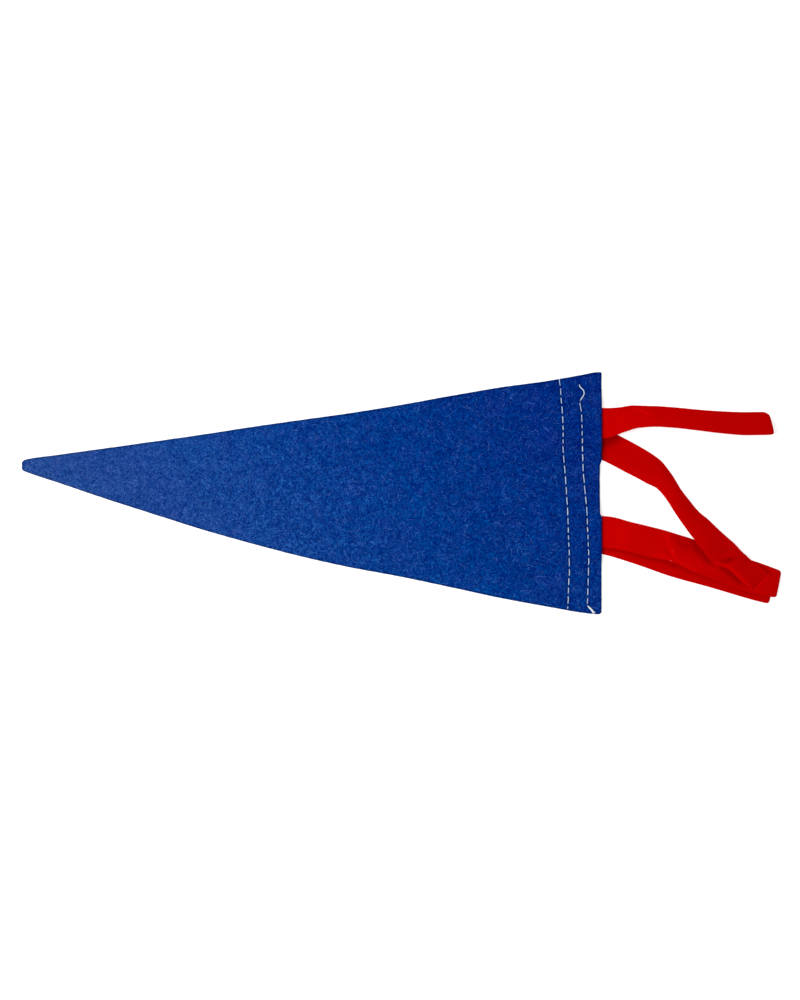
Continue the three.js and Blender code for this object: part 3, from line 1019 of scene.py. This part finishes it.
def makeTie(name, node, tie, material):
    half = np.array(tape["columns"])
    across = np.concatenate([half, [0], -half[::-1]])
    above, paintedLightAbove = layerSections(tie["top"], tie["topCreases"], across)
    under, paintedLightUnder = layerSections(tie["under"], tie["underCreases"], across)
    foldHeading = math.radians(tie["top"][0][2])
    backwards = np.array([-math.cos(foldHeading), -math.sin(foldHeading), 0])
    middle = (above[0] + under[0]) / 2
    radius = np.linalg.norm(above[0] - under[0], axis=1)[:, None] / 2
    turn = []
    for angle in np.linspace(0, math.pi, tape["turnSteps"] + 1)[1:-1]:
        spoke = math.cos(angle) * np.array([0, 0, 1]) + math.sin(angle) * backwards
        turn.append(middle + radius * spoke)
    grid = np.concatenate([above[::-1], turn, under])
    paintedLight = np.concatenate([paintedLightAbove[::-1], np.zeros((len(turn), len(across))), paintedLightUnder])

    normal = np.cross(np.gradient(grid, axis=0), np.gradient(grid, axis=1))
    normal /= np.linalg.norm(normal, axis=2, keepdims=True)
    share = np.ones(grid.shape[:2])
    for edge, near in enumerate(tape["edgeShare"]):
        share[:, [edge, -1 - edge]] *= near
    for edge, near in enumerate(tape["endShare"]):
        share[[edge, -1 - edge]] *= near
    offset = normal * (share * tape["thickness"] / 2)[..., None]
    points = np.concatenate([(grid + offset).reshape(-1, 3), (grid - offset).reshape(-1, 3)])

    rows, columns = grid.shape[:2]
    size = rows * columns
    faces = []
    for r in range(rows - 1):
        for c in range(columns - 1):
            a = r * columns + c
            faces.append((a, a + columns, a + columns + 1, a + 1))
            faces.append((size + a, size + a + 1, size + a + columns + 1, size + a + columns))
        a, b = r * columns, r * columns + columns - 1
        faces.append((a, size + a, size + a + columns, a + columns))
        faces.append((b, b + columns, size + b + columns, size + b))
    for c in range(columns - 1):
        b = (rows - 1) * columns + c
        faces.append((c, c + 1, size + c + 1, size + c))
        faces.append((b, size + b, size + b + 1, b + 1))

    steps = np.linalg.norm(np.diff(grid[:, columns // 2], axis=0), axis=1)
    along = np.concatenate([[0], np.cumsum(steps)])[:, None] + np.zeros(columns)
    sideways = across * tape["width"] / 2 + np.zeros((rows, 1))
    weave = np.stack([along, sideways, np.zeros_like(along)], axis=2).reshape(-1, 3)
    values = {"weave": np.concatenate([weave, weave]), "paintedLight": np.tile(paintedLight.ravel(), 2)}
    piece = addPiece(name, points, faces, material, values)
    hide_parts(node)
    print(name, "tape length", round(float(along[-1, 0]), 1))


tapeLook = {
    "red": linear(200, 1, 1),
    "deepRed": linear(194, 1, 1),
    # painted highlight colour for the pale glints on the creases
    "paintedLight": linear(226, 70, 84),
    "glintFrom": 0.6,  # the tint at which the painted glint colour starts
    "glintShare": 0.6,
    "creaseShade": 0.36,
    "tintRange": (-1.4, 0.6),  # tints past these count as these
    "endShade": 0.14,  # painted shade: the tails darken towards their cut ends, where the light falls off
    "endReach": 90,
    "threadStep": 0.42,
    "weaveNoise": (0.6, 1),  # distortion, detail
    "streakStretch": (0.03, 1.3, 1),
    "streakNoise": (1, 4, 0.65),  # scale, detail, roughness
    "streakRange": (0.3, 0.7),
    "bump": (0.5, 0.06),  # strength and depth
    "roughness": (0.55, 0.7),
}


def makeTapeMaterial():
    material, tree, shader = newMaterial("tapeRed")
    link = tree.links.new
    weave = addNode(tree, "ShaderNodeAttribute", attribute_name="weave")
    stretched = addNode(tree, "ShaderNodeMapping", {"Scale": tapeLook["streakStretch"]})
    link(weave.outputs["Vector"], stretched.inputs["Vector"])
    streaks = addNoise(tree, stretched.outputs["Vector"], *tapeLook["streakNoise"])
    low, high = tapeLook["streakRange"]
    level = addLevel(tree, streaks, low=low, high=high)
    shade = addMix(tree, level, tapeLook["red"], tapeLook["deepRed"])
    # painted highlights (over 0) and painted shade (under 0) along the creases
    paintedLight = addNode(tree, "ShaderNodeAttribute", attribute_name="paintedLight").outputs["Fac"]
    level = addLevel(tree, paintedLight, low=tapeLook["glintFrom"], pale=tapeLook["glintShare"])
    shade = addMix(tree, level, shade, tapeLook["paintedLight"])

    # painted shade in the creases and under raised edges, painted highlights on the ridges, and painted
    # shade towards the cut ends
    low, high = tapeLook["tintRange"]
    share = tapeLook["creaseShade"]
    creased = addLevel(tree, paintedLight, low=low, high=high, dark=1 + low * share, pale=1 + high * share)
    shade = addScale(tree, shade, creased)
    apart = addNode(tree, "ShaderNodeSeparateXYZ")
    link(addNode(tree, "ShaderNodeTexCoord").outputs["Object"], apart.inputs[0])
    # painted shade, darker towards the cut ends
    low, high = headingX * mm, (headingX + tapeLook["endReach"]) * mm
    ends = addLevel(tree, apart.outputs["X"], low=low, high=high, dark=1, pale=1 - tapeLook["endShade"])
    link(addScale(tree, shade, ends), shader.inputs["Base Color"])

    # plain weave: about one wave for each thread, along and across the tape
    distortion, detail = tapeLook["weaveNoise"]
    waves = {"Scale": 1 / (math.pi * tapeLook["threadStep"]), "Distortion": distortion, "Detail": detail}
    cloth = addNode(tree, "ShaderNodeMath", operation="MULTIPLY")
    for socket, direction in zip(cloth.inputs, ("X", "Y")):
        threads = addNode(tree, "ShaderNodeTexWave", waves, bands_direction=direction)
        link(weave.outputs["Vector"], threads.inputs["Vector"])
        link(threads.outputs["Fac"], socket)
    cloth = cloth.outputs[0]
    addBump(tree, shader, cloth, *tapeLook["bump"])
    dark, pale = tapeLook["roughness"]
    link(addLevel(tree, cloth, dark=dark, pale=pale), shader.inputs["Roughness"])
    shader.inputs["Specular IOR Level"].default_value = 0
    return material


tapeMaterial = makeTapeMaterial()
makeTie("tie_upper", "upper_tie", upperTie, tapeMaterial)
makeTie("tie_lower", "lower_tie", lowerTie, tapeMaterial)
